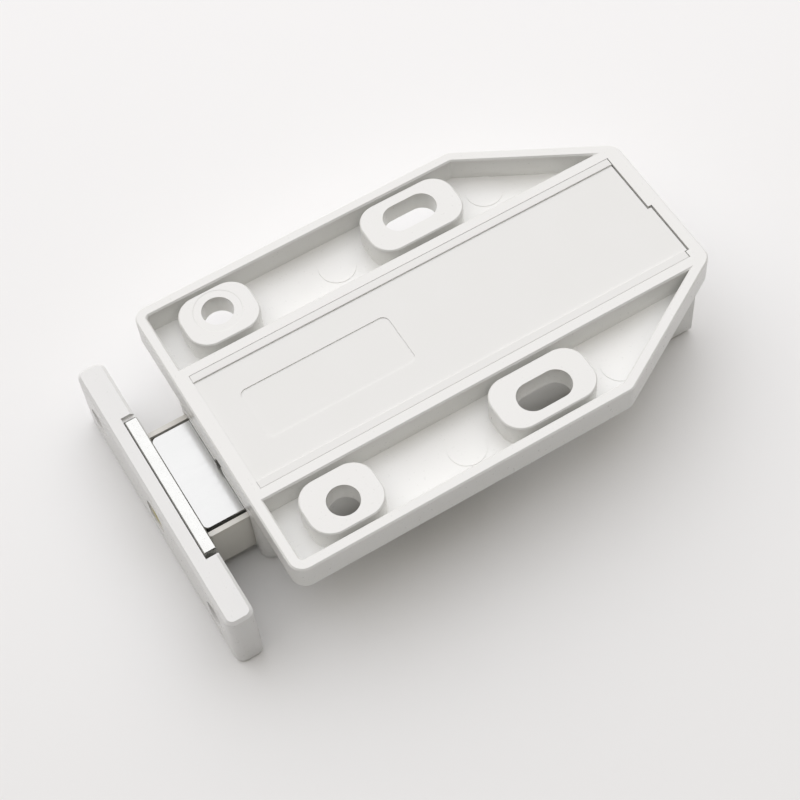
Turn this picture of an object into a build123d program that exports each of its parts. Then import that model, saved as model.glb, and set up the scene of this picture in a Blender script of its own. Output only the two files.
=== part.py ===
"""Magnetic push catch: housing with a magnet plunger, and the strike that it holds.

The catch lies on the flat face of its box, with its mounting face up. +Z is up, +Y runs from the
strike to the rear of the housing, and the origin is under the middle of the whole, on the surface
that it lies on. All sizes are in millimetres.
"""

import os
from math import asin, cos

from build123d import *

os.makedirs("parts", exist_ok=True)

# Housing outline, outwards from the box
HEIGHT = 15.5
SCREW_SPACING = 32.0
SCREW_TO_SIDE = 5.7
SCREW_TO_BOX = 5.15
TAPER_LENGTH = 19.2
REAR_TRIM = 0.2
CORNER_RADIUS = 2.0
RIM_WALL = 1.5
RIM_HEIGHT = 4.8
FLANGE_FLOOR = 1.1
RIM_EDGE = 0.2
FOOT_EDGE = 0.8
EJECTOR_RADIUS = 2.5
EJECTOR_HEIGHT = 0.08
EJECTOR_SPACING = 22.4

# Central box
BOX_WALL = 2.1
BOX_FLOOR = 1.6
BOX_REAR_WALL = 1.6
BOX_REAR_INSET = 1.8
BOX_REAR_ROOM = 8.2
BOX_FRONT_CORNER = 1.6
BOX_EDGE = 0.8
BROW_DEPTH = 2.6
BROW_CLEARANCE = 0.3
BROW_NOTCH_SHIFT = 0.8
BROW_NOTCH_WIDTH = 2.1
BROW_NOTCH_HEIGHT = 1.3

# Mounting bosses, holes and slots
SCREW_RADIUS = 2.1
SCREW_HEAD_RADIUS = 3.8
SLOT_LENGTH = 7.5
BOSS_TO_RIB = 0.8
BOSS_TO_RIM = 0.65
BOSS_CORNER = 3.0
BOSS_EDGE = 0.15
BOSS_WALL = 2.9
SLOT_BOSS_WALL = 3.0
FRONT_BOSS_Y = 9.6
REAR_BOSS_TO_TAPER = 9.15

# Cover plate over the box
COVER_THICKNESS = 2.0
COVER_FRONT_Y = 2.0
COVER_REAR_LAND = 2.18
COVER_STEP = 0.53
COVER_STEP_X = 0.2
COVER_REAR_GAP = 0.2
RAIL_REAR_GAP = 0.1
COVER_EDGE = 0.06
SEAM = 0.03
RIB_WIDTH = 1.5
RAIL_WIDTH = 1.15
PANEL_DEPTH = 0.2
LABEL_LENGTH = 21.1
LABEL_WIDTH = 7.9
LABEL_FRONT_Y = 6.1
LABEL_SHIFT = -0.15
LABEL_DEPTH = 0.12
LABEL_CORNER = 1.0

# Clips and nib that hold the cover
CLIP_LENGTH = 4.0
CLIP_THICKNESS = 0.9
CLIP_DROP = 5.0
CLIP_BARB = 0.4
CLIP_BARB_HEIGHT = 1.6
CLIP_CLEARANCE = 0.15
CLIP_TO_PLUNGER = 5.6
CLIP_TO_REAR = 6.6
NIB_LENGTH = 8.0
NIB_ARM = 1.0
NIB_REACH = 0.4
NIB_HEIGHT = 0.8
NIB_CLEARANCE = 0.7
HOLD_LENGTH = 6.0
HOLD_WIDTH = 2.4
HOLD_CLEARANCE = 0.1

# Plunger
PLUNGER_STROKE = 4.6
PLUNGER_REACH = 5.5
SLIDE_CLEARANCE = 0.2
PLATE_DROP = 6.1
PLUNGER_BODY_RISE = 1.8
PLUNGER_BODY_LENGTH = 19.0
TONGUE_LENGTH = 18.0
TONGUE_WIDTH = 11.0
PLUNGER_FLOOR = 1.2
PLUNGER_EDGE = 0.3
CHEEK_WALL = 0.7
CHEEK_DROP = 0.15
CHEEK_SETBACK = 0.1
STOP_CLEARANCE = 0.2
CORING_WIDTH = 6.2
CORING_WEB = 2.0
CORING_WALL = 1.3

# Magnet between two pole plates
PLATE_SIDE_GAP = 0.35
PLATE_THICKNESS = 1.3
PLATE_LENGTH = 20.2
PLATE_END_GAP = 0.1
PLATE_CORNER = 0.8
PLATE_EDGE = 0.1
MAGNET_SETBACK = 0.7
MAGNET_SIDE_GAP = 0.1
MAGNET_LENGTH = 13.4
MAGNET_EDGE = 0.3
KEY_LENGTH = 1.6
KEY_BITE = 0.5
KEY_CLEARANCE = 0.1
SPACER_WIDTH = 8.0

# Return spring, its bore and its post
SPRING_WIRE = 0.6
SPRING_WIRE_SIDES = 6
SPRING_TURNS = 5
SPRING_ROOM = 10.2
SPRING_END_GAP = 0.05
SPRING_CLEARANCE = 0.3
BORE_WALL = 0.9
BORE_DEPTH = 18.0
POST_CLEARANCE = 0.6
POST_LENGTH = 8.0
POST_TIP_SHARE = 0.3

# Cam follower and its heart cam
BLOCK_LENGTH = 4.6
BLOCK_WIDTH = 9.0
BLOCK_CLEARANCE = 0.5
FOLLOWER_WIRE = 1.0
FOLLOWER_LENGTH = 18.0
FOLLOWER_BEND = 0.9
FOLLOWER_RISE = 0.2
FOLLOWER_SWAY = 3.0
PIVOT_DEPTH = 4.5
PIVOT_CLEARANCE = 0.05
TRACK_DEPTH = 1.3
TRACK_CLEARANCE = 0.2
HEART_CORNER = 0.25

# Strike
STRIKE_SCREW_SPACING = 32.0
STRIKE_SCREW_TO_END = 4.85
STRIKE_SCREW_RADIUS = 2.0
STRIKE_HEAD_RADIUS = 3.7
STRIKE_THICKNESS = 3.75
STRIKE_DROP = 4.5
STRIKE_SHIFT = 0.33
STRIKE_CORNER = 1.2
STRIKE_EDGE = 0.4
RECESS_DEPTH = 1.75
RECESS_END_GAP = 0.75
RECESS_STEP_WIDTH = 0.4
RECESS_STEP_DROP = 0.55
STRIKE_PLATE_LENGTH = 21.7
STRIKE_PLATE_OFFSET = 0.15
STRIKE_PLATE_THICKNESS = 1.75
STRIKE_PLATE_DROP = 0.2
STRIKE_PLATE_EDGE = 0.15
STRIKE_PLATE_PLAY = 0.12
CONTACT_GAP = 0.03
RIVET_RADIUS = 1.2
RIVET_BORE_RADIUS = 0.7
RIVET_RING_RADIUS = 1.75
RIVET_RING_HEIGHT = 0.4
RIVET_RING_EDGE = 0.15
RIVET_HEAD_RADIUS = 2.1
RIVET_CLEARANCE = 0.05
RIVET_WELL_RADIUS = 2.25
RIVET_WELL_DEPTH = 0.5

# Lengths along Y, from the front of the housing
shoulder_y = BROW_DEPTH + STOP_CLEARANCE
tongue_y = shoulder_y + PLUNGER_BODY_LENGTH
tongue_end_y = tongue_y + TONGUE_LENGTH
spring_seat_y = tongue_end_y + SPRING_ROOM
block_end_y = spring_seat_y + BLOCK_LENGTH
housing_length = block_end_y + BOX_REAR_ROOM + BOX_REAR_WALL + BOX_REAR_INSET
taper_y = housing_length - TAPER_LENGTH
strike_plate_reach = PLUNGER_REACH + CONTACT_GAP
recess_reach = strike_plate_reach + STRIKE_PLATE_THICKNESS + STRIKE_PLATE_PLAY
strike_reach = recess_reach - RECESS_DEPTH + STRIKE_THICKNESS

# Places along Y, with the origin under the middle of the whole
front = (strike_reach - housing_length) / 2
rear = front + housing_length
front_boss = front + FRONT_BOSS_Y
rear_boss = front + taper_y - REAR_BOSS_TO_TAPER
opening_rear = rear - COVER_REAR_LAND
cavity_rear = rear - BOX_REAR_INSET - BOX_REAR_WALL
brow_rear = front + BROW_DEPTH
shoulder = front + shoulder_y
tongue_front = front + tongue_y
tongue_rear = front + tongue_end_y
bore_end = tongue_rear - BORE_DEPTH
spring_seat = front + spring_seat_y
pivot_y = spring_seat + BLOCK_LENGTH / 2
tip_y = pivot_y - FOLLOWER_LENGTH
pole_front = front - PLUNGER_REACH
magnet_front = pole_front + MAGNET_SETBACK
magnet_rear = magnet_front + MAGNET_LENGTH
plate_rear = pole_front + PLATE_LENGTH
bed_rear = plate_rear + PLATE_END_GAP
key_front = magnet_rear + KEY_CLEARANCE
clip_front = tongue_front + PLUNGER_STROKE + CLIP_TO_PLUNGER + CLIP_LENGTH / 2
clip_rear = cavity_rear - CLIP_TO_REAR
strike_front = front - strike_reach
recess_floor = front - recess_reach
strike_plate_front = recess_floor + STRIKE_PLATE_PLAY
strike_plate_back = front - strike_plate_reach

# Places along Z
flange_bottom = HEIGHT - RIM_HEIGHT
pocket_bottom = flange_bottom + FLANGE_FLOOR
cavity_top = HEIGHT - COVER_THICKNESS
panel_top = HEIGHT - PANEL_DEPTH
plate_top = HEIGHT - PLATE_DROP
mouth_top = plate_top + BROW_CLEARANCE
plunger_bottom = BOX_FLOOR + SLIDE_CLEARANCE
plate_bed = plunger_bottom + PLUNGER_FLOOR
body_top = plate_top + PLUNGER_BODY_RISE
magnet_bottom = plate_bed + PLATE_THICKNESS
magnet_top = plate_top - PLATE_THICKNESS
track_floor = body_top - TRACK_DEPTH
spring_z = (plunger_bottom + track_floor) / 2
follower_z = body_top + FOLLOWER_RISE + FOLLOWER_WIRE / 2
follower_tip_z = track_floor + TRACK_CLEARANCE
block_top = follower_z - FOLLOWER_WIRE / 2 - BLOCK_CLEARANCE
clip_bottom = cavity_top - CLIP_DROP
barb_top = clip_bottom + CLIP_BARB_HEIGHT
nib_bottom = body_top + NIB_CLEARANCE
strike_top = HEIGHT - STRIKE_DROP
strike_middle = strike_top / 2

# Places along X
side = SCREW_SPACING / 2 + SCREW_TO_SIDE
box_side = SCREW_SPACING / 2 - SCREW_TO_BOX
rear_corner = box_side - REAR_TRIM
cavity_half = box_side - BOX_WALL
opening_half = box_side - RIB_WIDTH
cover_half = opening_half - SEAM
panel_half = cover_half - RAIL_WIDTH
plunger_half = cavity_half - SLIDE_CLEARANCE
bed_half = plunger_half - CHEEK_WALL
plate_half = bed_half - PLATE_SIDE_GAP
magnet_half = plate_half - MAGNET_SIDE_GAP
key_half = plate_half - KEY_BITE
boss_inner = box_side + BOSS_TO_RIB
boss_outer = side - RIM_WALL - BOSS_TO_RIM
boss_middle = (boss_inner + boss_outer) / 2
recess_half = STRIKE_PLATE_LENGTH / 2 + RECESS_END_GAP

# Radii that follow the room there is
bore_radius = (track_floor - plunger_bottom) / 2 - BORE_WALL
spring_radius = bore_radius - SPRING_CLEARANCE - SPRING_WIRE / 2
post_radius = spring_radius - SPRING_WIRE / 2 - POST_CLEARANCE


def block(low: tuple, high: tuple, mode: Mode = Mode.ADD) -> Part:
    """Adds or cuts a block, given by its lowest and highest corners."""
    middle = tuple((a + b) / 2 for a, b in zip(low, high))
    size = tuple(b - a for a, b in zip(low, high))
    with Locations(middle):
        return Box(*size, mode=mode)


# Housing: a six-sided tray over a long box, open at the front for the plunger
with BuildPart() as housing:
    with BuildSketch(Plane.XY.offset(flange_bottom)) as flange:
        with BuildLine():
            Polyline(
                (-side, front),
                (side, front),
                (side, front + taper_y),
                (rear_corner, rear),
                (-rear_corner, rear),
                (-side, front + taper_y),
                close=True,
            )
        make_face()
        fillet(flange.vertices(), CORNER_RADIUS)
    extrude(amount=RIM_HEIGHT)
    fillet(housing.faces().sort_by(Axis.Z)[0].edges(), FOOT_EDGE)

    # The box hangs below the tray, flush with its front
    box_rear = rear - BOX_REAR_INSET
    with BuildSketch() as box_outline:
        with Locations((0, (front + box_rear) / 2)):
            Rectangle(2 * box_side, box_rear - front)
        front_corners, rear_corners = box_outline.vertices().group_by(Axis.Y)
        fillet(front_corners, BOX_FRONT_CORNER)
        fillet(rear_corners, BOX_EDGE)
    extrude(amount=flange_bottom)
    fillet(housing.faces().sort_by(Axis.Z)[0].edges(), BOX_EDGE)

    # Two pockets lighten the wings between rim and ribs
    with BuildSketch(Plane.XY.offset(HEIGHT)):
        add(flange.sketch_local)
        offset(amount=-RIM_WALL, mode=Mode.REPLACE)
        Rectangle(2 * box_side, 2 * housing_length, mode=Mode.SUBTRACT)
    extrude(amount=pocket_bottom - HEIGHT, mode=Mode.SUBTRACT)
    chamfer(housing.faces().sort_by(Axis.Z)[-1].edges(), RIM_EDGE)
    with BuildSketch(Plane.XY.offset(pocket_bottom)):
        with Locations((0, rear_boss)):
            with GridLocations(SCREW_SPACING, EJECTOR_SPACING, 2, 2):
                Circle(EJECTOR_RADIUS)
    extrude(amount=EJECTOR_HEIGHT)

    # Bosses stand in the pockets, flush with the mounting face
    boss_width = boss_outer - boss_inner
    hole_boss_length = 2 * (SCREW_RADIUS + BOSS_WALL)
    slot_boss_length = SLOT_LENGTH + 2 * SLOT_BOSS_WALL
    for boss_y, boss_length in ((front_boss, hole_boss_length), (rear_boss, slot_boss_length)):
        with BuildSketch(Plane.XY.offset(pocket_bottom)):
            with Locations((-boss_middle, boss_y), (boss_middle, boss_y)):
                RectangleRounded(boss_width, boss_length, BOSS_CORNER)
        extrude(amount=HEIGHT - pocket_bottom)
    mounting_faces = housing.faces().filter_by(Axis.Z).group_by(Axis.Z)[-1]
    boss_tops = mounting_faces.filter_by(lambda f: f.area < boss_width * slot_boss_length)
    chamfer(boss_tops.edges(), BOSS_EDGE)

    # Round holes in front, slots behind, all countersunk from the side that shows in use
    flare = SCREW_HEAD_RADIUS - SCREW_RADIUS
    for screw_x in (-SCREW_SPACING / 2, SCREW_SPACING / 2):
        with Locations(Location((screw_x, front_boss, flange_bottom), (180, 0, 0))):
            CounterSinkHole(SCREW_RADIUS, SCREW_HEAD_RADIUS, counter_sink_angle=90)
        with BuildSketch(Plane.XY.offset(flange_bottom)):
            with Locations((screw_x, rear_boss)):
                SlotOverall(SLOT_LENGTH, 2 * SCREW_RADIUS, rotation=90)
        extrude(amount=RIM_HEIGHT, mode=Mode.SUBTRACT)
        with BuildSketch(Plane.XY.offset(flange_bottom)):
            with Locations((screw_x, rear_boss)):
                SlotOverall(SLOT_LENGTH + 2 * flare, 2 * SCREW_HEAD_RADIUS, rotation=90)
        with BuildSketch(Plane.XY.offset(flange_bottom + flare)):
            with Locations((screw_x, rear_boss)):
                SlotOverall(SLOT_LENGTH, 2 * SCREW_RADIUS, rotation=90)
        loft(mode=Mode.SUBTRACT)

    # The cavity for the mechanism, its mouth in front and the seat of the cover above
    block((-cavity_half, brow_rear, BOX_FLOOR), (cavity_half, cavity_rear, cavity_top), Mode.SUBTRACT)
    block((-cavity_half, front, BOX_FLOOR), (cavity_half, brow_rear, mouth_top), Mode.SUBTRACT)
    cover_seat = (-opening_half, front + COVER_FRONT_Y, cavity_top)
    block(cover_seat, (opening_half, opening_rear, HEIGHT), Mode.SUBTRACT)
    block(
        (COVER_STEP_X - COVER_REAR_GAP, opening_rear, cavity_top),
        (panel_half + COVER_REAR_GAP, opening_rear + COVER_STEP, HEIGHT),
        Mode.SUBTRACT,
    )
    with BuildSketch(Plane.XZ.offset(-brow_rear)):
        with Locations((BROW_NOTCH_SHIFT, mouth_top)):
            Ellipse(BROW_NOTCH_WIDTH / 2, BROW_NOTCH_HEIGHT)
    extrude(amount=BROW_DEPTH, mode=Mode.SUBTRACT)

    # Undercuts for the barbs and the nib of the cover
    barb_half = cavity_half + CLIP_BARB + CLIP_CLEARANCE
    for clip_y in (clip_front, clip_rear):
        block(
            (-barb_half, clip_y - CLIP_LENGTH / 2 - CLIP_CLEARANCE, clip_bottom - CLIP_CLEARANCE),
            (barb_half, clip_y + CLIP_LENGTH / 2 + CLIP_CLEARANCE, barb_top + CLIP_CLEARANCE),
            Mode.SUBTRACT,
        )
    nib_half = NIB_LENGTH / 2 + CLIP_CLEARANCE
    block(
        (-nib_half, brow_rear - NIB_REACH - CLIP_CLEARANCE, nib_bottom - CLIP_CLEARANCE),
        (nib_half, brow_rear, nib_bottom + NIB_HEIGHT + CLIP_CLEARANCE),
        Mode.SUBTRACT,
    )

    # A block stands in the cavity: it backs the spring and carries the follower's pivot
    block((-BLOCK_WIDTH / 2, spring_seat, 0), (BLOCK_WIDTH / 2, spring_seat + BLOCK_LENGTH, block_top))
    post_front = spring_seat - POST_LENGTH
    post_chamfer = POST_TIP_SHARE * post_radius
    with BuildSketch(Plane.YZ):
        with BuildLine():
            Polyline(
                (pivot_y, spring_z),
                (pivot_y, spring_z + post_radius),
                (post_front + post_chamfer, spring_z + post_radius),
                (post_front, spring_z + post_radius - post_chamfer),
                (post_front, spring_z),
                close=True,
            )
        make_face()
    revolve(axis=Axis((0, 0, spring_z), (0, 1, 0)))
    with BuildSketch(Plane.XY.offset(block_top)):
        with Locations((0, pivot_y)):
            Circle(FOLLOWER_WIRE / 2 + PIVOT_CLEARANCE)
    extrude(amount=-PIVOT_DEPTH, mode=Mode.SUBTRACT)
housing.part.label = "housing"
export_step(housing.part, "parts/housing.step")

# Cover: rails flush with the mounting face, a sunk panel with a bare label field, clips below
with BuildPart() as base_cover:
    cover_front = front + COVER_FRONT_Y + SEAM
    cover_rear = opening_rear - COVER_REAR_GAP
    rail_rear = opening_rear - RAIL_REAR_GAP
    block((-cover_half, cover_front, cavity_top), (cover_half, rail_rear, HEIGHT))
    block((-panel_half, cover_rear, cavity_top), (COVER_STEP_X, rail_rear, HEIGHT), Mode.SUBTRACT)
    block((COVER_STEP_X, rail_rear, cavity_top), (panel_half, cover_rear + COVER_STEP, HEIGHT))
    block((-panel_half, front, panel_top), (panel_half, rear, HEIGHT), Mode.SUBTRACT)
    chamfer(base_cover.faces().sort_by(Axis.Z)[-2:].edges(), COVER_EDGE)
    with BuildSketch(Plane.XY.offset(panel_top)):
        with Locations((LABEL_SHIFT, front + LABEL_FRONT_Y + LABEL_LENGTH / 2)):
            RectangleRounded(LABEL_WIDTH, LABEL_LENGTH, LABEL_CORNER)
    extrude(amount=-LABEL_DEPTH, mode=Mode.SUBTRACT)

    # Barbed clips hold the rear, a nib under the brow holds the front
    clip_face = cavity_half - CLIP_CLEARANCE
    for clip_y in (clip_front, clip_rear):
        with BuildSketch(Plane.XZ.offset(-clip_y)) as clip_profile:
            with BuildLine():
                Polyline(
                    (clip_face - CLIP_THICKNESS, cavity_top),
                    (clip_face, cavity_top),
                    (clip_face, barb_top),
                    (cavity_half + CLIP_BARB, barb_top),
                    (clip_face, clip_bottom),
                    (clip_face - CLIP_THICKNESS, clip_bottom),
                    close=True,
                )
            make_face()
            mirror(about=Plane.YZ)
        extrude(amount=CLIP_LENGTH / 2, both=True)
    with BuildSketch(Plane.YZ):
        with BuildLine():
            nib_back = brow_rear + CLIP_CLEARANCE
            Polyline(
                (nib_back, cavity_top),
                (nib_back + NIB_ARM, cavity_top),
                (nib_back + NIB_ARM, nib_bottom),
                (brow_rear - NIB_REACH, nib_bottom),
                (brow_rear - NIB_REACH, nib_bottom + NIB_HEIGHT),
                (nib_back, nib_bottom + NIB_HEIGHT),
                close=True,
            )
        make_face()
    extrude(amount=NIB_LENGTH / 2, both=True)

    # A rib holds the follower down in its pivot
    rib_bottom = follower_z + FOLLOWER_WIRE / 2 + HOLD_CLEARANCE
    block(
        (-HOLD_LENGTH / 2, pivot_y - HOLD_WIDTH / 2, rib_bottom),
        (HOLD_LENGTH / 2, pivot_y + HOLD_WIDTH / 2, cavity_top),
    )
base_cover.part.label = "base_cover"
export_step(base_cover.part, "parts/base_cover.step")

# Heart cam: the island that the follower's tip goes round, with its latching notch
track_half = FOLLOWER_WIRE / 2 + TRACK_CLEARANCE
swing_angle = asin(FOLLOWER_SWAY / FOLLOWER_LENGTH)
lane_end = tip_y - PLUNGER_STROKE + FOLLOWER_LENGTH * (1 - cos(swing_angle))
lane_corners = ((0, tip_y), (FOLLOWER_SWAY, lane_end), (-FOLLOWER_SWAY, lane_end))
with BuildSketch() as heart:
    with BuildLine():
        Polyline(*lane_corners, close=True)
    make_face()
    offset(amount=-track_half, kind=Kind.INTERSECTION, mode=Mode.REPLACE)
    with Locations((0, lane_end + track_half)):
        Circle(track_half, mode=Mode.SUBTRACT)
    fillet(heart.vertices(), HEART_CORNER)

# Plunger: open fork in front for the magnet, tongue behind with spring bore and heart cam
with BuildPart() as plunger:
    cheek_front = pole_front + CHEEK_SETBACK
    cheek_top = plate_top - CHEEK_DROP
    block((-plunger_half, cheek_front, plunger_bottom), (plunger_half, shoulder, cheek_top))
    block((-plunger_half, shoulder, plunger_bottom), (plunger_half, tongue_front, body_top))
    tongue_half = TONGUE_WIDTH / 2
    block((-tongue_half, tongue_front, plunger_bottom), (tongue_half, tongue_rear, body_top))
    fillet(plunger.edges().filter_by(Axis.Z), PLUNGER_EDGE)

    # Bed for the plates, with two keys and a spacer that hold them
    block((-bed_half, cheek_front, plate_bed), (bed_half, bed_rear, plate_top), Mode.SUBTRACT)
    for inner, outer in ((key_half, plunger_half), (-plunger_half, -key_half)):
        block((inner, key_front, plate_bed), (outer, key_front + KEY_LENGTH, plate_top))
    block(
        (-SPACER_WIDTH / 2, key_front, magnet_bottom),
        (SPACER_WIDTH / 2, tongue_front, magnet_top),
    )
    with BuildSketch(Plane.XY.offset(body_top)):
        with Locations((0, (bed_rear + tongue_front) / 2)):
            with GridLocations(CORING_WIDTH + CORING_WEB, 1, 2, 1):
                Rectangle(CORING_WIDTH, tongue_front - bed_rear - 2 * CORING_WALL)
    extrude(amount=plate_bed - body_top, mode=Mode.SUBTRACT)

    # Spring bore from the rear, heart-shaped track in the top
    with BuildSketch(Plane.XZ.offset(-tongue_rear)):
        with Locations((0, spring_z)):
            Circle(bore_radius)
    extrude(amount=BORE_DEPTH, mode=Mode.SUBTRACT)
    with BuildSketch(Plane.XY.offset(body_top)):
        with BuildLine():
            Polyline(*lane_corners, close=True)
        make_face()
        offset(amount=track_half, mode=Mode.REPLACE)
        add(heart.sketch, mode=Mode.SUBTRACT)
    extrude(amount=-TRACK_DEPTH, mode=Mode.SUBTRACT)
plunger.part.label = "plunger"
export_step(plunger.part, "parts/plunger.step")

# Pole plates: two equal steel plates with rounded front corners and a notch for each key
with BuildSketch() as plate_outline:
    with Locations((0, (pole_front + plate_rear) / 2)):
        Rectangle(2 * plate_half, PLATE_LENGTH)
    fillet(plate_outline.vertices().group_by(Axis.Y)[0], PLATE_CORNER)
    with Locations((0, key_front + KEY_LENGTH / 2)):
        with GridLocations(4 * key_half - 2 * KEY_CLEARANCE, 1, 2, 1):
            Rectangle(2 * key_half, KEY_LENGTH + 2 * KEY_CLEARANCE, mode=Mode.SUBTRACT)

with BuildPart() as lower_pole_plate:
    with BuildSketch(Plane.XY.offset(plate_bed)):
        add(plate_outline.sketch)
    extrude(amount=PLATE_THICKNESS)
    chamfer(lower_pole_plate.faces().filter_by(Axis.Z).edges(), PLATE_EDGE)
lower_pole_plate.part.label = "lower_pole_plate"
export_step(lower_pole_plate.part, "parts/lower_pole_plate.step")

with BuildPart() as upper_pole_plate:
    with BuildSketch(Plane.XY.offset(magnet_top)):
        add(plate_outline.sketch)
    extrude(amount=PLATE_THICKNESS)
    chamfer(upper_pole_plate.faces().filter_by(Axis.Z).edges(), PLATE_EDGE)
upper_pole_plate.part.label = "upper_pole_plate"
export_step(upper_pole_plate.part, "parts/upper_pole_plate.step")

# Magnet: a pressed block, a little short of the plates in front
with BuildPart() as magnet:
    block((-magnet_half, magnet_front, magnet_bottom), (magnet_half, magnet_rear, magnet_top))
    chamfer(magnet.edges().filter_by(Axis.Z), MAGNET_EDGE)
magnet.part.label = "magnet"
export_step(magnet.part, "parts/magnet.step")

# Return spring, from the end of its bore to the block in the housing
with BuildPart() as plunger_spring:
    coil_start = bore_end + SPRING_END_GAP + SPRING_WIRE / 2
    coil_length = spring_seat - SPRING_END_GAP - SPRING_WIRE / 2 - coil_start
    with BuildLine() as coil:
        Helix(
            coil_length / SPRING_TURNS,
            coil_length,
            spring_radius,
            center=(0, coil_start, spring_z),
            direction=(0, 1, 0),
        )
    with BuildSketch(Plane(coil.line @ 0, z_dir=coil.line % 0)):
        RegularPolygon(SPRING_WIRE / 2, SPRING_WIRE_SIDES)
    sweep(is_frenet=True)
plunger_spring.part.label = "plunger_spring"
export_step(plunger_spring.part, "parts/plunger_spring.step")

# Cam follower: a wire bent into a flat U, one leg in the block, the other in the track
with BuildPart() as cam_follower:
    with BuildLine(Plane.YZ) as wire_line:
        FilletPolyline(
            (pivot_y, block_top - PIVOT_DEPTH + PIVOT_CLEARANCE),
            (pivot_y, follower_z),
            (tip_y, follower_z),
            (tip_y, follower_tip_z),
            radius=FOLLOWER_BEND,
        )
    with BuildSketch(Plane(wire_line.line @ 0, z_dir=wire_line.line % 0)):
        Circle(FOLLOWER_WIRE / 2)
    sweep()
cam_follower.part.label = "cam_follower"
export_step(cam_follower.part, "parts/cam_follower.step")

# Strike bar: recess behind for the steel plate, countersunk holes at the ends
with BuildPart() as strike_bar:
    strike_back = strike_front + STRIKE_THICKNESS
    with BuildSketch():
        with Locations((STRIKE_SHIFT, (strike_front + strike_back) / 2)):
            strike_length = STRIKE_SCREW_SPACING + 2 * STRIKE_SCREW_TO_END
            RectangleRounded(strike_length, STRIKE_THICKNESS, STRIKE_CORNER)
    extrude(amount=strike_top)
    chamfer(strike_bar.faces().filter_by(Axis.Z).edges(), STRIKE_EDGE)
    step_half = recess_half - RECESS_STEP_WIDTH
    block(
        (STRIKE_SHIFT - step_half, recess_floor, 0),
        (STRIKE_SHIFT + step_half, strike_back, strike_top),
        Mode.SUBTRACT,
    )
    block(
        (STRIKE_SHIFT - recess_half, recess_floor, strike_top - RECESS_STEP_DROP),
        (STRIKE_SHIFT + recess_half, strike_back, strike_top),
        Mode.SUBTRACT,
    )
    for end_x in (-STRIKE_SCREW_SPACING / 2, STRIKE_SCREW_SPACING / 2):
        with Locations(Location((STRIKE_SHIFT + end_x, strike_back, strike_middle), (-90, 0, 0))):
            CounterSinkHole(STRIKE_SCREW_RADIUS, STRIKE_HEAD_RADIUS, counter_sink_angle=90)
    with Locations(Location((STRIKE_SHIFT, strike_front, strike_middle), (90, 0, 0))):
        CounterBoreHole(RIVET_RADIUS + RIVET_CLEARANCE, RIVET_WELL_RADIUS, RIVET_WELL_DEPTH)
strike_bar.part.label = "strike_bar"
export_step(strike_bar.part, "parts/strike_bar.step")

# Steel plate in the back of the bar, countersunk for the rivet
with BuildPart() as strike_plate:
    plate_middle = STRIKE_SHIFT - STRIKE_PLATE_OFFSET
    block(
        (plate_middle - STRIKE_PLATE_LENGTH / 2, strike_plate_front, STRIKE_PLATE_DROP),
        (plate_middle + STRIKE_PLATE_LENGTH / 2, strike_plate_back, strike_top - STRIKE_PLATE_DROP),
    )
    chamfer(strike_plate.edges(), STRIKE_PLATE_EDGE)
    with Locations(Location((STRIKE_SHIFT, strike_plate_back, strike_middle), (-90, 0, 0))):
        CounterSinkHole(
            RIVET_RADIUS + RIVET_CLEARANCE, RIVET_HEAD_RADIUS + RIVET_CLEARANCE, counter_sink_angle=90
        )
strike_plate.part.label = "strike_plate"
export_step(strike_plate.part, "parts/strike_plate.step")

# Hollow rivet: countersunk head in the plate, rolled ring in the well of the bar
with BuildPart() as strike_rivet:
    well_floor = strike_front + RIVET_WELL_DEPTH
    head_depth = RIVET_HEAD_RADIUS - RIVET_RADIUS
    with BuildSketch(Plane((STRIKE_SHIFT, 0, strike_middle))) as rivet_section:
        with BuildLine():
            Polyline(
                (RIVET_BORE_RADIUS, strike_plate_back),
                (RIVET_HEAD_RADIUS, strike_plate_back),
                (RIVET_RADIUS, strike_plate_back - head_depth),
                (RIVET_RADIUS, well_floor),
                (RIVET_RING_RADIUS, well_floor),
                (RIVET_RING_RADIUS, well_floor - RIVET_RING_HEIGHT),
                (RIVET_BORE_RADIUS, well_floor - RIVET_RING_HEIGHT),
                close=True,
            )
        make_face()
        chamfer(rivet_section.vertices().group_by(Axis.Y)[0], RIVET_RING_EDGE)
    revolve(axis=Axis((STRIKE_SHIFT, 0, strike_middle), (0, 1, 0)))
strike_rivet.part.label = "strike_rivet"
export_step(strike_rivet.part, "parts/strike_rivet.step")
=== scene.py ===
"""Looks of a magnetic push catch: white housing, sprung magnet plunger and the strike it holds.

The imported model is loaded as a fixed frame, in metres. +Z is up, +Y runs from the strike to the rear
of the housing, and the floor is at z = 0. Lengths held in dataclass fields are in millimetres and
angles in degrees, and places in them are measured in the same frame.
"""

import logging
import math
from dataclasses import dataclass, field
from enum import Enum

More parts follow.
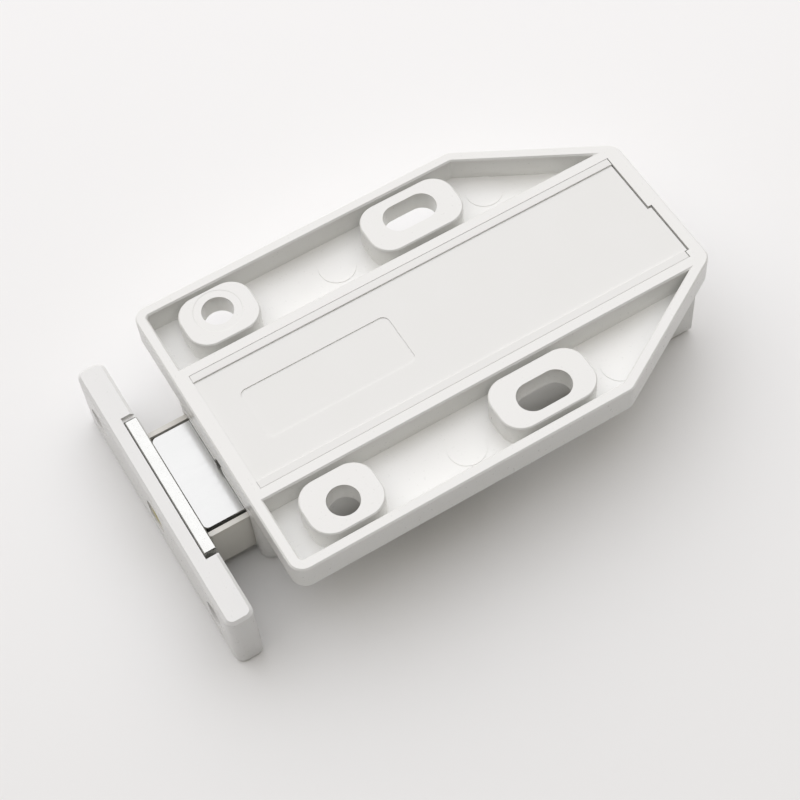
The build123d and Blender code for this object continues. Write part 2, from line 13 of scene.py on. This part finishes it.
import bmesh
import bpy
from mathutils import Euler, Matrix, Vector


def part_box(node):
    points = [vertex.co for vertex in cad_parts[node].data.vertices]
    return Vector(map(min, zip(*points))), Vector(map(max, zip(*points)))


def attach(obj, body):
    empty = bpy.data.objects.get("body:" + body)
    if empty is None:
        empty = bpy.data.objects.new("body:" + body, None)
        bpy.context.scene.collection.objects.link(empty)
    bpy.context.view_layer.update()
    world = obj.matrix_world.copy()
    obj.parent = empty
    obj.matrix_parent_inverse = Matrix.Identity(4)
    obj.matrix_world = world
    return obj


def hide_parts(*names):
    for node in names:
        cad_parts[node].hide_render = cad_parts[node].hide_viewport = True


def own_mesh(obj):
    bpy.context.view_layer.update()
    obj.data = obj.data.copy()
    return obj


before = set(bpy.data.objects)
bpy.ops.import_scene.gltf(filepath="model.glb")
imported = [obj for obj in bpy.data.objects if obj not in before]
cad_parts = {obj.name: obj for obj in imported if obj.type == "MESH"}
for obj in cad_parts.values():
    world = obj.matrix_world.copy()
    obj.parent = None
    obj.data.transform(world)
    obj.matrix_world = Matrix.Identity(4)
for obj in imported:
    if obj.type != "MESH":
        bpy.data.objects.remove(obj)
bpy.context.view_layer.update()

MM = 0.001
# Corners of the CAD mesh nearer than this, in millimetres, are one corner
MERGE_DISTANCE = 0.0005
# Facets that lie nearer than this to one plane, in degrees, are one face
FLAT_ANGLE = 0.4
log = logging.getLogger("catch")

# Sockets of a Mix node, which has one pair of them for each kind of data
FACTOR = 0
FLOAT_A = 2
FLOAT_B = 3
COLOUR_A = 6
COLOUR_B = 7
COLOUR_OUT = 2

# Layers of finer noise in the grain and in the slow patches, and how strongly each layer counts
GRAIN_DETAIL = 3.0
PATCH_DETAIL = 2.0
LAYER_SHARE = 0.55
# Nearly all values of such a noise lie between these two
GRAIN_LOW = 0.3
GRAIN_HIGH = 0.7
# How much of the grain's range the edge of a speck takes to fade
SPECK_FADE = 0.08


class Surface(Enum):
    """What a maker's process leaves on a surface."""

    MOULDED = "eroded mould grain"
    ROLLED = "bright plate over rolled sheet"
    SHEARED = "plate over a sheared edge"
    DRAWN = "die marks along wire"
    SINTERED = "pressed granules"
    TUMBLED = "tumbled and handled"


# How far each process draws its marks out along X, Y and Z, as a scale of the pattern's place
STREAKS = {Surface.ROLLED: (1.0, 0.2, 1.0), Surface.DRAWN: (1.0, 0.3, 1.0)}


def linear(hex_colour: str) -> tuple[float, float, float, float]:
    """Turns an sRGB hex colour into linear RGBA.

    Args:
        hex_colour: six hex digits, such as "F2F1EE".

    Returns:
        Red, green, blue and alpha, linear.
    """
    channels = [int(hex_colour[i : i + 2], 16) / 255 for i in (0, 2, 4)]
    red, green, blue = [c / 12.92 if c <= 0.04045 else ((c + 0.055) / 1.055) ** 2.4 for c in channels]
    return red, green, blue, 1.0


def add_node(
    tree: bpy.types.NodeTree,
    kind: str,
    links: dict[int | str, bpy.types.NodeSocket] | None = None,
    values: dict[int | str, object] | None = None,
    **settings: object,
) -> bpy.types.Node:
    """Adds a node with its settings, input values and incoming links.

    Args:
        tree: the node tree that gets the node.
        kind: Blender's type name of the node.
        links: input name or index to the output socket that feeds it.
        values: input name or index to its value.
        **settings: properties set on the node itself.

    Returns:
        The new node.
    """
    node = tree.nodes.new(kind)
    for name, setting in settings.items():
        setattr(node, name, setting)
    for key, value in (values or {}).items():
        node.inputs[key].default_value = value
    for key, source in (links or {}).items():
        tree.links.new(source, node.inputs[key])
    return node


@dataclass(frozen=True)
class WitnessRing:
    """The faint step that a core pin leaves round a hole."""

    centre: tuple[float, float] = (-16.0, -18.8)
    radius: float = 3.15
    width: float = 0.16
    step: float = 0.05


@dataclass(frozen=True)
class Finish:
    """A surface as its maker would order it, with the real sizes of its pattern."""

    name: str
    slot: str
    surface: Surface
    colour: str
    colour_low: str
    roughness: float
    roughness_spread: float
    grain_mm: float
    patch_mm: float
    bump_mm: float
    metallic: float = 0.0
    ior: float = 1.5
    speck: str = ""
    speck_share: float = 0.0
    ring: WitnessRing | None = None

    def material(self) -> bpy.types.Material:
        """Builds the finish as a procedural material, once.

        Returns:
            The material of this name.
        """
        made = bpy.data.materials.get(self.name)
        if made:
            return made
        made = bpy.data.materials.new(self.name)
        made.use_nodes = True
        tree = made.node_tree
        shader = tree.nodes["Principled BSDF"]
        shader.inputs["Metallic"].default_value = self.metallic
        if not self.metallic:
            shader.inputs["IOR"].default_value = self.ior
        place = add_node(tree, "ShaderNodeTexCoord").outputs["Object"]
        streak = {"Scale": STREAKS.get(self.surface, (1.0, 1.0, 1.0))}
        drawn_out = add_node(tree, "ShaderNodeMapping", {"Vector": place}, streak).outputs[0]
        grain = self.noise(tree, drawn_out, self.grain_mm, GRAIN_DETAIL)
        patches = self.noise(tree, drawn_out, self.patch_mm, PATCH_DETAIL)
        tree.links.new(self.tint(tree, patches, grain), shader.inputs["Base Color"])
        levels = {
            "From Min": GRAIN_LOW,
            "From Max": GRAIN_HIGH,
            "To Min": self.roughness - self.roughness_spread,
            "To Max": self.roughness + self.roughness_spread,
        }
        rough = add_node(tree, "ShaderNodeMapRange", {"Value": grain}, levels)
        tree.links.new(rough.outputs[0], shader.inputs["Roughness"])
        tree.links.new(self.relief(tree, place, grain), shader.inputs["Normal"])
        return made

    def noise(
        self, tree: bpy.types.NodeTree, place: bpy.types.NodeSocket, size_mm: float, detail: float
    ) -> bpy.types.NodeSocket:
        """Adds a noise whose features have a real size.

        Args:
            tree: the material's node tree.
            place: the coordinates that it is laid over.
            size_mm: the size of its features.
            detail: how many finer layers it has.

        Returns:
            The noise value, from 0 to 1.
        """
        values = {"Scale": 1 / (size_mm * MM), "Detail": detail, "Roughness": LAYER_SHARE}
        return add_node(tree, "ShaderNodeTexNoise", {"Vector": place}, values).outputs["Fac"]

    def tint(
        self, tree: bpy.types.NodeTree, patches: bpy.types.NodeSocket, grain: bpy.types.NodeSocket
    ) -> bpy.types.NodeSocket:
        """Mixes the two tones of the surface, and its specks where it has them.

        Args:
            tree: the material's node tree.
            patches: the slow variation.
            grain: the fine variation.

        Returns:
            The colour.
        """
        tones = {COLOUR_A: linear(self.colour_low), COLOUR_B: linear(self.colour)}
        mixed = add_node(tree, "ShaderNodeMix", {FACTOR: patches}, tones, data_type="RGBA")
        if not self.speck:
            return mixed.outputs[COLOUR_OUT]
        # Grain is spread about a half, and its lowest values become specks
        edge = 0.5 * (1 - self.speck_share)
        levels = {"From Min": edge - SPECK_FADE, "From Max": edge, "To Min": 1.0, "To Max": 0.0}
        share = add_node(tree, "ShaderNodeMapRange", {"Value": grain}, levels)
        specks = {FACTOR: share.outputs[0], COLOUR_A: mixed.outputs[COLOUR_OUT]}
        speck = {COLOUR_B: linear(self.speck)}
        return add_node(tree, "ShaderNodeMix", specks, speck, data_type="RGBA").outputs[COLOUR_OUT]

    def relief(
        self, tree: bpy.types.NodeTree, place: bpy.types.NodeSocket, grain: bpy.types.NodeSocket
    ) -> bpy.types.NodeSocket:
        """Turns the grain, and the ring round a core pin, into a bump.

        Args:
            tree: the material's node tree.
            place: the piece's own coordinates.
            grain: the fine variation.

        Returns:
            The bent normal.
        """
        depth = {"Strength": 1.0, "Distance": self.bump_mm * MM}
        bump = add_node(tree, "ShaderNodeBump", {"Height": grain}, depth)
        if not self.ring:
            return bump.outputs[0]
        # With its height taken out, a place is as far from the ring's centre as from its axis
        level = add_node(
            tree, "ShaderNodeVectorMath", {0: place}, {1: (1.0, 1.0, 0.0)}, operation="MULTIPLY"
        ).outputs[0]
        centre = {1: (self.ring.centre[0] * MM, self.ring.centre[1] * MM, 0.0)}
        away = add_node(tree, "ShaderNodeVectorMath", {0: level}, centre, operation="DISTANCE")
        inner = (self.ring.radius - self.ring.width / 2) * MM
        outer = (self.ring.radius + self.ring.width / 2) * MM
        step = add_node(
            tree,
            "ShaderNodeMapRange",
            {"Value": away.outputs["Value"]},
            {"From Min": inner, "From Max": outer},
            interpolation_type="SMOOTHSTEP",
        )
        ringed = add_node(
            tree,
            "ShaderNodeBump",
            {"Height": step.outputs[0], "Normal": bump.outputs[0]},
            {"Strength": 1.0, "Distance": self.ring.step * MM},
        )
        return ringed.outputs[0]

    def dress(self, piece: bpy.types.Object) -> None:
        """Gives a piece this finish alone.

        Args:
            piece: the object that is dressed.
        """
        piece.data.materials.clear()
        piece.data.materials.append(self.material())


# Injection-moulded ABS in white: satin, with an eroded grain too fine to see as dots
HOUSING_ABS = Finish(
    name="housing_abs",
    slot="white_abs",
    surface=Surface.MOULDED,
    colour="EBEBE9",
    colour_low="E9E9E6",
    roughness=0.30,
    roughness_spread=0.03,
    grain_mm=0.4,
    patch_mm=9.0,
    bump_mm=0.0008,
    ior=1.54,
    ring=WitnessRing(),
)
# The same ABS from another mould, a shade greyer and a little more matt
COVER_ABS = Finish(
    name="cover_abs",
    slot="white_abs",
    surface=Surface.MOULDED,
    colour="E6E6E4",
    colour_low="E4E4E1",
    roughness=0.36,
    roughness_spread=0.04,
    grain_mm=0.4,
    patch_mm=7.0,
    bump_mm=0.001,
    ior=1.54,
)
# The strike's own moulding of that ABS
STRIKE_ABS = Finish(
    name="strike_abs",
    slot="white_abs",
    surface=Surface.MOULDED,
    colour="E5E5E4",
    colour_low="E3E3E1",
    roughness=0.30,
    roughness_spread=0.03,
    grain_mm=0.4,
    patch_mm=8.0,
    bump_mm=0.0008,
    ior=1.54,
)
# Moulded acetal: slightly yellower and more waxy than ABS
ACETAL = Finish(
    name="moulded_acetal",
    slot="white_acetal",
    surface=Surface.MOULDED,
    colour="DEDCD5",
    colour_low="D9D7D0",
    roughness=0.32,
    roughness_spread=0.04,
    grain_mm=0.4,
    patch_mm=8.0,
    bump_mm=0.0012,
    ior=1.48,
)
# Bright zinc plate on rolled sheet: nearly a mirror, with the faintest streaks
ROLLED_PLATE = Finish(
    name="rolled_plate",
    slot="plated_steel",
    surface=Surface.ROLLED,
    colour="C1C1BE",
    colour_low="BCBCB9",
    roughness=0.16,
    roughness_spread=0.03,
    grain_mm=0.6,
    patch_mm=5.0,
    bump_mm=0.00012,
    metallic=1.0,
)
# The same plate over a sheared edge, which is rougher and speckled
SHEARED_PLATE = Finish(
    name="sheared_plate",
    slot="plated_steel",
    surface=Surface.SHEARED,
    colour="CCCCC8",
    colour_low="C3C3BF",
    roughness=0.30,
    roughness_spread=0.08,
    grain_mm=0.22,
    patch_mm=1.6,
    bump_mm=0.0012,
    metallic=1.0,
    speck="B4B3AE",
    speck_share=0.2,
)
# Sintered ferrite: charcoal, dull and slightly granular
FERRITE = Finish(
    name="sintered_ferrite",
    slot="ferrite",
    surface=Surface.SINTERED,
    colour="38383B",
    colour_low="2B2B2E",
    roughness=0.62,
    roughness_spread=0.08,
    grain_mm=0.25,
    patch_mm=3.0,
    bump_mm=0.008,
    speck="4A4A4E",
    speck_share=0.3,
)
# Drawn spring wire: grey and bright, with lengthwise die marks
SPRING_STEEL = Finish(
    name="drawn_spring_steel",
    slot="spring_steel",
    surface=Surface.DRAWN,
    colour="B9BABC",
    colour_low="A5A6A9",
    roughness=0.28,
    roughness_spread=0.06,
    grain_mm=0.2,
    patch_mm=2.0,
    bump_mm=0.0005,
    metallic=1.0,
)
# Tumbled brass: muted olive yellow, darker in its hollows from handling
BRASS = Finish(
    name="tumbled_brass",
    slot="brass",
    surface=Surface.TUMBLED,
    colour="C8C096",
    colour_low="948B5E",
    roughness=0.30,
    roughness_spread=0.10,
    grain_mm=0.25,
    patch_mm=0.8,
    bump_mm=0.004,
    metallic=1.0,
    speck="4A4730",
    speck_share=0.35,
)


def place_new(name: str, mesh: bpy.types.Mesh) -> bpy.types.Object:
    """Puts a mesh into the scene as an object at the origin.

    Args:
        name: the piece's name.
        mesh: its mesh, already in place.

    Returns:
        The new object.
    """
    piece = bpy.data.objects.new(name, mesh)
    bpy.context.scene.collection.objects.link(piece)
    return piece


def soften(piece: bpy.types.Object, soft_angle: float) -> None:
    """Shades facets of a curve as round, while a wide face stays flat up to its edge.

    Args:
        piece: a piece with a merged mesh.
        soft_angle: two facets that meet at a corner shade as one up to this angle, in degrees.
    """
    mesh = piece.data
    mesh.shade_smooth()
    around = [[] for _ in mesh.vertices]
    for face in mesh.polygons:
        for corner in face.vertices:
            around[corner].append(face)
    limit = math.cos(math.radians(soft_angle))
    normals = []
    for face in mesh.polygons:
        for corner in face.vertices:
            alike = [other for other in around[corner] if other.normal.dot(face.normal) > limit]
            normals.append(sum((other.normal * other.area for other in alike), Vector()).normalized())
    mesh.normals_split_custom_set(normals)


def moulded(node: str, body: str, finish: Finish, soft_angle: float) -> bpy.types.Object:
    """Copies a CAD node as one merged mesh of the same form, and dresses it.

    Args:
        node: the CAD node that the copy stands for.
        body: the body that it rides on.
        finish: its finish.
        soft_angle: the widest step between facets that shades as round, in degrees.

    Returns:
        The dressed piece.
    """
    shape = bmesh.new()
    shape.from_mesh(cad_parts[node].data)
    bmesh.ops.remove_doubles(shape, verts=shape.verts, dist=MERGE_DISTANCE * MM)
    bmesh.ops.dissolve_limit(
        shape, angle_limit=math.radians(FLAT_ANGLE), verts=shape.verts, edges=shape.edges
    )
    mesh = bpy.data.meshes.new(f"{node}_look")
    shape.to_mesh(mesh)
    shape.free()
    piece = place_new(f"{node}_look", mesh)
    soften(piece, soft_angle)
    finish.dress(piece)
    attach(piece, body)
    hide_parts(node)
    return piece


def turned(name: str, profile: list[tuple[float, float]], centre: Vector, steps: int) -> bpy.types.Object:
    """Turns a closed profile about a line along Y.

    Args:
        name: the piece's name.
        profile: radius and height along Y of each corner, in metres, all round the section.
        centre: the point of the axis at height 0.
        steps: how many sections make the whole turn.

    Returns:
        The turned piece.
    """
    shape = bmesh.new()
    rings = []
    for i in range(steps):
        turn = 2 * math.pi * i / steps
        across = Vector((math.cos(turn), 0.0, math.sin(turn)))
        rings.append([shape.verts.new(centre + across * r + Vector((0.0, y, 0.0))) for r, y in profile])
    for i, ring in enumerate(rings):
        following = rings[(i + 1) % steps]
        for j in range(len(profile)):
            k = (j + 1) % len(profile)
            shape.faces.new((ring[j], ring[k], following[k], following[j]))
    bmesh.ops.recalc_face_normals(shape, faces=shape.faces)
    mesh = bpy.data.meshes.new(name)
    shape.to_mesh(mesh)
    shape.free()
    return place_new(name, mesh)


def new_tree(name: str, inputs: dict[str, str]) -> bpy.types.NodeTree:
    """Starts a geometry node tree with named inputs and one geometry output.

    Args:
        name: the tree's name.
        inputs: input name to its kind of socket.

    Returns:
        The tree, with its interface alone.
    """
    tree = bpy.data.node_groups.new(name, "GeometryNodeTree")
    for title, kind in inputs.items():
        tree.interface.new_socket(title, in_out="INPUT", socket_type=kind)
    tree.interface.new_socket("Geometry", in_out="OUTPUT", socket_type="NodeSocketGeometry")
    return tree


def close_tree(tree: bpy.types.NodeTree, shape: bpy.types.NodeSocket, finish: Finish) -> None:
    """Ends a geometry node tree with smooth shading, real geometry and its finish.

    Args:
        tree: the tree.
        shape: the geometry that it has made.
        finish: the finish that the geometry gets.
    """
    smooth = add_node(tree, "GeometryNodeSetShadeSmooth", {"Geometry": shape})
    real = add_node(tree, "GeometryNodeRealizeInstances", {"Geometry": smooth.outputs[0]})
    paint = {"Material": finish.material()}
    painted = add_node(tree, "GeometryNodeSetMaterial", {"Geometry": real.outputs[0]}, paint)
    add_node(tree, "NodeGroupOutput", {"Geometry": painted.outputs[0]})


def grow(name: str, tree: bpy.types.NodeTree, sizes: dict[str, object]) -> bpy.types.Object:
    """Runs a geometry node tree and keeps its result as a plain mesh.

    Args:
        name: the piece's name.
        tree: the node tree.
        sizes: input name to its value.

    Returns:
        The piece, with no modifier left on it.
    """
    piece = place_new(name, bpy.data.meshes.new(name))
    modifier = piece.modifiers.new(name, "NODES")
    modifier.node_group = tree
    for item in tree.interface.items_tree:
        if item.in_out == "INPUT":
            modifier[item.identifier] = sizes[item.name]
    bpy.context.view_layer.update()
    evaluated = piece.evaluated_get(bpy.context.evaluated_depsgraph_get())
    result = bpy.data.meshes.new_from_object(evaluated)
    piece.modifiers.remove(modifier)
    piece.data = result
    return piece


def round_wire(
    tree: bpy.types.NodeTree,
    line: bpy.types.NodeSocket,
    radius: bpy.types.NodeSocket,
    steps: int,
) -> bpy.types.NodeSocket:
    """Gives a curve the round section of a wire, with closed ends.

    Args:
        tree: the geometry node tree.
        line: the wire's middle line.
        radius: the wire's radius.
        steps: how many sides the section has.

    Returns:
        The wire's surface.
    """
    sides = {"Resolution": steps}
    section = add_node(tree, "GeometryNodeCurvePrimitiveCircle", {"Radius": radius}, sides)
    path = {"Curve": line, "Profile Curve": section.outputs[0]}
    return add_node(tree, "GeometryNodeCurveToMesh", path, {"Fill Caps": True}).outputs[0]


@dataclass
class Housing:
    """The moulded tray with its box, and the cover that closes the box."""

    soft_angle: float = 30.0

    def build(self) -> list[bpy.types.Object]:
        """Makes the shell and its cover.

        Returns:
            The two pieces.
        """
        shell = moulded("housing", "housing", HOUSING_ABS, self.soft_angle)
        cover = moulded("base_cover", "housing", COVER_ABS, self.soft_angle)
        return [shell, cover]


@dataclass
class PlungerUnit:
    """The moulded plunger with its magnet between two steel plates."""

    soft_angle: float = 30.0

    def build(self) -> list[bpy.types.Object]:
        """Makes the carrier, the magnet and the two plates.

        Returns:
            The four pieces.
        """
        carrier = moulded("plunger", "plunger", ACETAL, self.soft_angle)
        magnet = moulded("magnet", "plunger", FERRITE, self.soft_angle)
        plates = [
            moulded(node, "plunger", ROLLED_PLATE, self.soft_angle)
            for node in ("lower_pole_plate", "upper_pole_plate")
        ]
        return [carrier, magnet, *plates]


@dataclass
class Mechanism:
    """The return spring and the wire follower of the heart cam, both inside the box."""

    spring_turns: float = 5.0
    spring_wire_radius: float = 0.3
    spring_end_gap: float = 0.05
    stroke: float = 4.6
    follower_wire_radius: float = 0.5
    follower_bend_radius: float = 0.9
    follower_tip_height: float = 10.1
    turn_steps: int = 32
    section_steps: int = 12

    def build(self) -> list[bpy.types.Object]:
        """Makes the spring and the follower.

        Returns:
            The two pieces.
        """
        return [self.spring(), self.follower()]

    def spring(self) -> bpy.types.Object:
        """Winds the spring along Y, in the room that the CAD spring holds.

        Returns:
            The spring, at the length of the CAD spring.
        """
        low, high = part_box("plunger_spring")
        wire = self.spring_wire_radius * MM
        inputs = {title: "NodeSocketFloat" for title in ("Turns", "Coil Radius", "Wire Radius", "Length")}
        tree = new_tree("wound_spring", inputs | {"Start": "NodeSocketVector"})
        sizes = add_node(tree, "NodeGroupInput").outputs
        line = add_node(
            tree,
            "GeometryNodeCurveSpiral",
            {
                "Rotations": sizes["Turns"],
                "Start Radius": sizes["Coil Radius"],
                "End Radius": sizes["Coil Radius"],
                "Height": sizes["Length"],
            },
            {"Resolution": self.turn_steps},
        )
        coil = round_wire(tree, line.outputs[0], sizes["Wire Radius"], self.section_steps)
        # A spiral climbs along Z, and this turn lays it along Y
        laid = add_node(
            tree,
            "GeometryNodeTransform",
            {"Geometry": coil, "Translation": sizes["Start"]},
            {"Rotation": (-math.pi / 2, 0.0, 0.0)},
        )
        close_tree(tree, laid.outputs[0], SPRING_STEEL)
        axis_z = (low.z + high.z) / 2
        values = {
            "Turns": self.spring_turns,
            "Coil Radius": (high.z - low.z) / 2 - wire,
            "Wire Radius": wire,
            "Length": high.y - low.y - 2 * wire,
            "Start": (0.0, low.y + wire, axis_z),
        }
        piece = grow("wound_spring", tree, values)
        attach(piece, "housing")
        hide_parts("plunger_spring")
        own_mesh(piece)
        return piece

    def follower(self) -> bpy.types.Object:
        """Bends the follower's wire into its flat U.

        Returns:
            The follower.
        """
        low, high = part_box("cam_follower")
        wire = self.follower_wire_radius * MM
        ends = {
            "Pivot Foot": (0.0, high.y - wire, low.z),
            "Pivot Bend": (0.0, high.y - wire, high.z - wire),
            "Tip Bend": (0.0, low.y + wire, high.z - wire),
            "Tip Foot": (0.0, low.y + wire, self.follower_tip_height * MM),
        }
        inputs = {title: "NodeSocketVector" for title in ends}
        tree = new_tree("bent_wire", inputs | {"Wire Radius": "NodeSocketFloat", "Bend": "NodeSocketFloat"})
        sizes = add_node(tree, "NodeGroupInput").outputs
        corners = {f"Point {i}": sizes[title] for i, title in enumerate(ends, start=1)}
        line = add_node(tree, "GeometryNodeCurvePrimitiveQuadrilateral", corners, mode="POINTS")
        # Four points make a closed shape, which is opened between the two feet
        loop = {"Geometry": line.outputs[0]}
        opened = add_node(tree, "GeometryNodeSetSplineCyclic", loop, {"Cyclic": False})
        bent = add_node(
            tree,
            "GeometryNodeFilletCurve",
            {"Curve": opened.outputs[0], "Radius": sizes["Bend"]},
            {"Count": self.section_steps},
            mode="POLY",
        )
        rod = round_wire(tree, bent.outputs[0], sizes["Wire Radius"], self.section_steps)
        close_tree(tree, rod, SPRING_STEEL)
        values = ends | {"Wire Radius": wire, "Bend": self.follower_bend_radius * MM}
        piece = grow("bent_follower", tree, values)
        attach(piece, "follower")
        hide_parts("cam_follower")
        return piece


@dataclass
class Strike:
    """The moulded strike bar, its steel plate and the hollow rivet that joins them."""

    soft_angle: float = 30.0
    bore_radius: float = 0.7
    shank_radius: float = 1.2
    ring_radius: float = 1.75
    ring_height: float = 0.4
    head_depth: float = 0.9
    roll_steps: int = 8
    turn_steps: int = 48

    def build(self) -> list[bpy.types.Object]:
        """Makes the bar, the plate and the rivet.

        Returns:
            The three pieces.
        """
        bar = moulded("strike_bar", "strike", STRIKE_ABS, self.soft_angle)
        plate = moulded("strike_plate", "strike", SHEARED_PLATE, self.soft_angle)
        return [bar, plate, self.rivet()]

    def rivet(self) -> bpy.types.Object:
        """Turns the hollow rivet, with its front end rolled over into a ring.

        Returns:
            The rivet.
        """
        low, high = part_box("strike_rivet")
        centre = Vector(((low.x + high.x) / 2, low.y, (low.z + high.z) / 2))
        length = high.y - low.y
        bore = self.bore_radius * MM
        ring = self.ring_radius * MM
        height = self.ring_height * MM
        middle = (bore + ring) / 2
        half = (ring - bore) / 2
        angles = [math.pi * i / self.roll_steps for i in range(self.roll_steps + 1)]
        roll = [(middle - half * math.cos(a), height * (1 - math.sin(a))) for a in angles]
        shank = [
            (self.shank_radius * MM, height),
            (self.shank_radius * MM, length - self.head_depth * MM),
            ((high.x - low.x) / 2, length),
            (bore, length),
        ]
        piece = turned("rolled_rivet", roll + shank, centre, self.turn_steps)
        soften(piece, self.soft_angle)
        BRASS.dress(piece)
        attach(piece, "strike")
        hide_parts("strike_rivet")
        return piece


@dataclass
class Studio:
    """Pale floor, a soft sky and the camera of a tabletop product shot."""

    camera_place: tuple[float, float, float] = (117.29, -57.82, 216.29)
    camera_turn: tuple[float, float, float] = (30.957, 3.256, 59.318)
    camera_lens: float = 86.64
    camera_sensor: float = 36.0
    camera_near: float = 10.0
    camera_far: float = 10000.0
    floor_size: float = 1600.0
    floor_light: str = "F7F7F7"
    floor_painted_shade: str = "E6E6E5"
    # Painted shade: the floor's colour darkens along this direction, standing in for light that falls off
    # across the floor, over this length to each side of the middle
    floor_slope: tuple[float, float] = (0.8, -0.35)
    floor_fade: float = 110.0
    # The middle of the sky's bright side
    sky_azimuth: float = 168.0
    sky_elevation: float = 65.0
    # Cosines of the angles off that middle at which the light begins and at which it is full
    sky_edge: float = 0.22
    sky_core: float = 0.95
    # Strength and colour of the full light, and of the faint warm light away from it
    sky_high: float = 1.81
    sky_light: str = "FBFBFF"
    sky_low: float = 0.02
    sky_dark: str = "F6EAD2"
    # What the camera sees of the sky beyond the floor
    backdrop: float = 0.78
    backdrop_paint: str = "F8F8F8"

    def build(self) -> None:
        """Makes floor, sky and camera."""
        self.floor()
        self.sky()
        self.camera()

    def floor(self) -> None:
        """Lays a flat sheet of paper, with painted shade that makes it a little darker towards one corner
        of the view.
        """
        half = self.floor_size * MM / 2
        mesh = bpy.data.meshes.new("floor")
        corners = [(-half, -half, 0), (half, -half, 0), (half, half, 0), (-half, half, 0)]
        mesh.from_pydata(corners, [], [(0, 1, 2, 3)])
        sheet = place_new("floor", mesh)
        paint = bpy.data.materials.new("paper_floor")
        paint.use_nodes = True
        tree = paint.node_tree
        tree.nodes.clear()
        place = add_node(tree, "ShaderNodeTexCoord")
        slope = tuple(share / (self.floor_fade * MM) for share in self.floor_slope)
        along = add_node(
            tree,
            "ShaderNodeVectorMath",
            {0: place.outputs["Object"]},
            {1: (*slope, 0.0)},
            operation="DOT_PRODUCT",
        )
        fade = add_node(
            tree,
            "ShaderNodeMapRange",
            {"Value": along.outputs["Value"]},
            {"From Min": -1.0, "From Max": 1.0},
            interpolation_type="SMOOTHSTEP",
        )
        # The paper's colour runs from its lit tone into painted shade, which stands in for light falling
        # off
        tones = {COLOUR_A: linear(self.floor_light), COLOUR_B: linear(self.floor_painted_shade)}
        tone = add_node(tree, "ShaderNodeMix", {FACTOR: fade.outputs[0]}, tones, data_type="RGBA")
        matt = add_node(tree, "ShaderNodeBsdfDiffuse", {"Color": tone.outputs[COLOUR_OUT]})
        add_node(tree, "ShaderNodeOutputMaterial", {"Surface": matt.outputs[0]})
        mesh.materials.append(paint)

    def sky(self) -> None:
        """Lights the scene from one wide soft side of the sky, seen itself as a pale backdrop."""
        world = bpy.data.worlds.new("studio")
        world.use_nodes = True
        tree = world.node_tree
        tree.nodes.clear()
        place = add_node(tree, "ShaderNodeTexCoord")
        azimuth = math.radians(self.sky_azimuth)
        elevation = math.radians(self.sky_elevation)
        flat = math.cos(elevation)
        source = (flat * math.cos(azimuth), flat * math.sin(azimuth), math.sin(elevation))
        toward = add_node(
            tree,
            "ShaderNodeVectorMath",
            {0: place.outputs["Generated"]},
            {1: source},
            operation="DOT_PRODUCT",
        )
        share = add_node(
            tree,
            "ShaderNodeMapRange",
            {"Value": toward.outputs["Value"]},
            {"From Min": self.sky_edge, "From Max": self.sky_core},
            interpolation_type="SMOOTHSTEP",
        ).outputs[0]
        levels = {FLOAT_A: self.sky_low, FLOAT_B: self.sky_high}
        strength = add_node(tree, "ShaderNodeMix", {FACTOR: share}, levels, data_type="FLOAT")
        tones = {COLOUR_A: linear(self.sky_dark), COLOUR_B: linear(self.sky_light)}
        tone = add_node(tree, "ShaderNodeMix", {FACTOR: share}, tones, data_type="RGBA")
        seen = add_node(tree, "ShaderNodeLightPath").outputs["Is Camera Ray"]
        lit = {FACTOR: seen, FLOAT_A: strength.outputs[0]}
        shown = add_node(tree, "ShaderNodeMix", lit, {FLOAT_B: self.backdrop}, data_type="FLOAT")
        tinted = {FACTOR: seen, COLOUR_A: tone.outputs[COLOUR_OUT]}
        paint = {COLOUR_B: linear(self.backdrop_paint)}
        hue = add_node(tree, "ShaderNodeMix", tinted, paint, data_type="RGBA")
        light = {"Strength": shown.outputs[0], "Color": hue.outputs[COLOUR_OUT]}
        sky = add_node(tree, "ShaderNodeBackground", light)
        add_node(tree, "ShaderNodeOutputWorld", {"Surface": sky.outputs[0]})
        bpy.context.scene.world = world

    def camera(self) -> None:
        """Sets the camera at the viewing angle of the photograph."""
        eye = bpy.data.cameras.new("camera")
        eye.lens = self.camera_lens
        eye.sensor_width = self.camera_sensor
        eye.clip_start = self.camera_near * MM
        eye.clip_end = self.camera_far * MM
        holder = bpy.data.objects.new("camera", eye)
        holder.location = Vector(self.camera_place) * MM
        holder.rotation_euler = Euler([math.radians(a) for a in self.camera_turn])
        bpy.context.scene.collection.objects.link(holder)
        bpy.context.scene.camera = holder


@dataclass
class Catch:
    """The whole catch, in the order in which its makers would put it together."""

    housing: Housing = field(default_factory=Housing)
    plunger_unit: PlungerUnit = field(default_factory=PlungerUnit)
    mechanism: Mechanism = field(default_factory=Mechanism)
    strike: Strike = field(default_factory=Strike)

    def build(self) -> None:
        """Builds and dresses every piece, and reports each one."""
        for group in (self.housing, self.plunger_unit, self.mechanism, self.strike):
            for piece in group.build():
                log.info("%s: %s, %d faces", type(group).__name__, piece.name, len(piece.data.polygons))


def main() -> None:
    """Dresses the object and sets the stage."""
    logging.basicConfig(level=logging.INFO, format="%(message)s")
    bpy.context.scene.view_settings.view_transform = "Standard"
    Catch().build()
    Studio().build()


if __name__ == "__main__":
    main()
